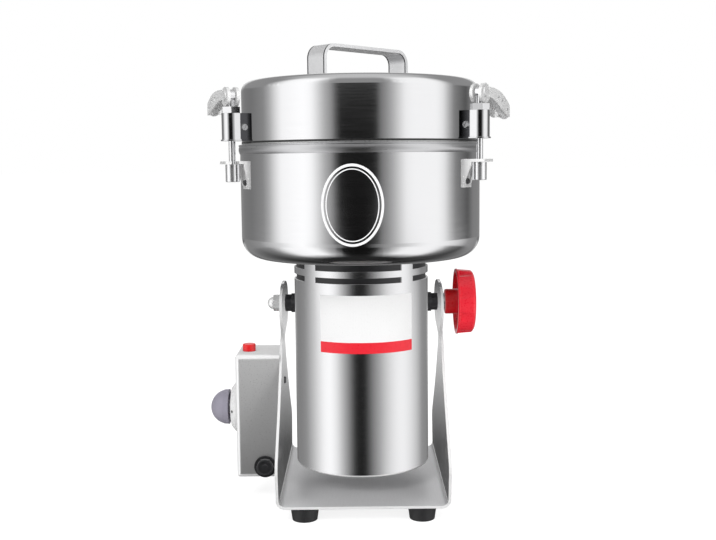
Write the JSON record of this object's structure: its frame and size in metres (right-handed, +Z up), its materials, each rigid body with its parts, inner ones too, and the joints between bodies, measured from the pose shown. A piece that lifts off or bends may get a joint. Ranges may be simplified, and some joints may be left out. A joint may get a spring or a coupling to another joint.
{
  "type": "electric grain mill",
  "caption": "Swing-type electric grain mill: a clamped round grinding bowl over an upright motor tilts in a bent sheet stand with a timer box, a red clamp knob and rubber feet.",
  "frame": {"origin": "on the table under the middle of the whole footprint, latch levers, timer knob and clamp knob included; the mill's own axis stands 5.5 mm to the right of it and 11.8 mm in front of it", "axes": "+Z up, +X to the right where the red clamp knob is, +Y to the back; the front with the plain housing label faces -Y"},
  "size_m": [0.2834, 0.2526, 0.427],
  "materials": {
    "stainless_brushed": "brushed",
    "stainless_polished": "polished",
    "hard_steel": "bright",
    "blackened_steel": "satin black",
    "rubber_black": "matt",
    "box_silver": "satin",
    "dial_white": "gloss",
    "plastic_black": "satin",
    "knob_mauve": "satin",
    "plastic_red": "gloss",
    "lamination": "stacked sheet",
    "copper_wire": "enamelled copper",
    "cast_aluminium": "cast",
    "brass_sheet": "bright",
    "carbon": "matt"
  },
  "bodies": {
    "stand": {"yoke": "stainless_brushed", "feet": "rubber_black", "foot_screws": "hard_steel", "switch_box": "box_silver", "box_screw": "blackened_steel", "dial_plate": "dial_white", "timer_body": "plastic_black", "breaker_body": "plastic_black", "fuse_holder": "plastic_black", "cable_gland": "plastic_black"},
    "head": {"motor_housing": "stainless_brushed", "motor_floor": "stainless_brushed", "cooling_sleeve": "plastic_black", "stator": "lamination", "field_coils": "copper_wire", "lower_bracket": "cast_aluminium", "upper_bracket": "cast_aluminium", "bearings": "hard_steel", "brush_holders": "brass_sheet", "carbon_brushes": "carbon", "bowl": "stainless_polished", "rim_band": "stainless_polished", "bowl_flange": "stainless_polished", "bowl_screws": "hard_steel", "seal_hub": "stainless_polished", "latch_brackets": "stainless_polished", "bracket_screws": "blackened_steel", "spacers": "blackened_steel", "trunnion_bolt": "hard_steel", "clamp_stud": "hard_steel", "dome_nut": "hard_steel", "clamp_washer": "hard_steel"},
    "tilt_clamp_knob": {"clamp_knob": "plastic_red"},
    "rotor": {"shaft": "hard_steel", "armature": "lamination", "armature_winding": "copper_wire", "commutator": "copper_wire", "cooling_fan": "plastic_black", "blade_low": "hard_steel", "blade_mid": "hard_steel", "blade_top": "hard_steel", "blade_spacers": "hard_steel", "blade_nut": "hard_steel"},
    "lid": {"lid_shell": "stainless_polished", "lid_gasket": "rubber_black", "handle": "stainless_polished", "handle_screws": "hard_steel", "latch_hoods": "stainless_polished", "hood_screws": "stainless_polished", "hex_bushings": "stainless_polished"},
    "latch_rod_right": {"rod_right": "stainless_polished"},
    "latch_rod_left": {"rod_left": "stainless_polished"},
    "latch_rod_rear": {"rod_rear": "stainless_polished"},
    "latch_lever_right": {"lever_right": "stainless_polished"},
    "latch_lever_left": {"lever_left": "stainless_polished"},
    "latch_lever_rear": {"lever_rear": "stainless_polished"},
    "timer": {"timer_shaft": "hard_steel", "timer_knob": "knob_mauve"},
    "reset_push_button": {"reset_button": "plastic_red"},
    "fuse_cap": {"fuse_cap": "plastic_black"}
  },
  "joints": [
    {"name": "head_tilt", "type": "hinge", "parent": "stand", "child": "head", "pos_m": [0.0055, -0.0118, 0.186], "axis": [1, 0, 0], "range_deg": [-90, 90]},
    {"name": "clamp_knob_turn", "type": "hinge", "parent": "head", "child": "tilt_clamp_knob", "pos_m": [0.0975, -0.0118, 0.186], "axis": [1, 0, 0], "range_deg": [0, 180]},
    {"name": "rotor_spin", "type": "hinge", "parent": "head", "child": "rotor", "pos_m": [0.0055, -0.0118, 0.15], "axis": [0, 0, 1], "continuous": true},
    {"name": "lid_turn", "type": "hinge", "parent": "head", "child": "lid", "pos_m": [0.0055, -0.0118, 0.34], "axis": [0, 0, 1], "range_deg": [0, 12]},
    {"name": "latch_rod_right_drop", "type": "slide", "parent": "lid", "child": "latch_rod_right", "axis": [0, 0, -1], "range_m": [0, 0.0014]},
    {"name": "latch_lever_right_lift", "type": "hinge", "parent": "latch_rod_right", "child": "latch_lever_right", "pos_m": [0.11041, -0.08337, 0.3802], "axis": [0.8261, -0.5635, 0], "range_deg": [0, 110]},
    {"name": "latch_rod_left_drop", "type": "slide", "parent": "lid", "child": "latch_rod_left", "axis": [0, 0, -1], "range_m": [0, 0.0014]},
    {"name": "latch_lever_left_lift", "type": "hinge", "parent": "latch_rod_left", "child": "latch_lever_left", "pos_m": [-0.10894, -0.06688, 0.3802], "axis": [0.9011, 0.4337, 0], "range_deg": [0, 110]},
    {"name": "latch_rod_rear_drop", "type": "slide", "parent": "lid", "child": "latch_rod_rear", "axis": [0, 0, -1], "range_m": [0, 0.0014]},
    {"name": "latch_lever_rear_lift", "type": "hinge", "parent": "latch_rod_rear", "child": "latch_lever_rear", "pos_m": [0.01502, 0.11484, 0.3802], "axis": [0.075, 0.9972, 0], "range_deg": [0, 110]},
    {"name": "timer_turn", "type": "hinge", "parent": "stand", "child": "timer", "pos_m": [-0.1245, -0.0118, 0.0845], "axis": [1, 0, 0], "range_deg": [0, 300]},
    {"name": "reset_press", "type": "slide", "parent": "stand", "child": "reset_push_button", "axis": [0, 0, -1], "range_m": [0, 0.002], "stiffness_N_per_m": 400},
    {"name": "fuse_cap_turn", "type": "hinge", "parent": "stand", "child": "fuse_cap", "pos_m": [-0.0875, -0.0418, 0.033], "axis": [0, -1, 0], "range_deg": [0, 90]}
  ],
  "couplings": [
    {"joint": "latch_rod_right_drop", "follows": "latch_lever_right_lift", "m_per_rad": 0.00072922},
    {"joint": "latch_rod_left_drop", "follows": "latch_lever_left_lift", "m_per_rad": 0.00072922},
    {"joint": "latch_rod_rear_drop", "follows": "latch_lever_rear_lift", "m_per_rad": 0.00072922}
  ]
}
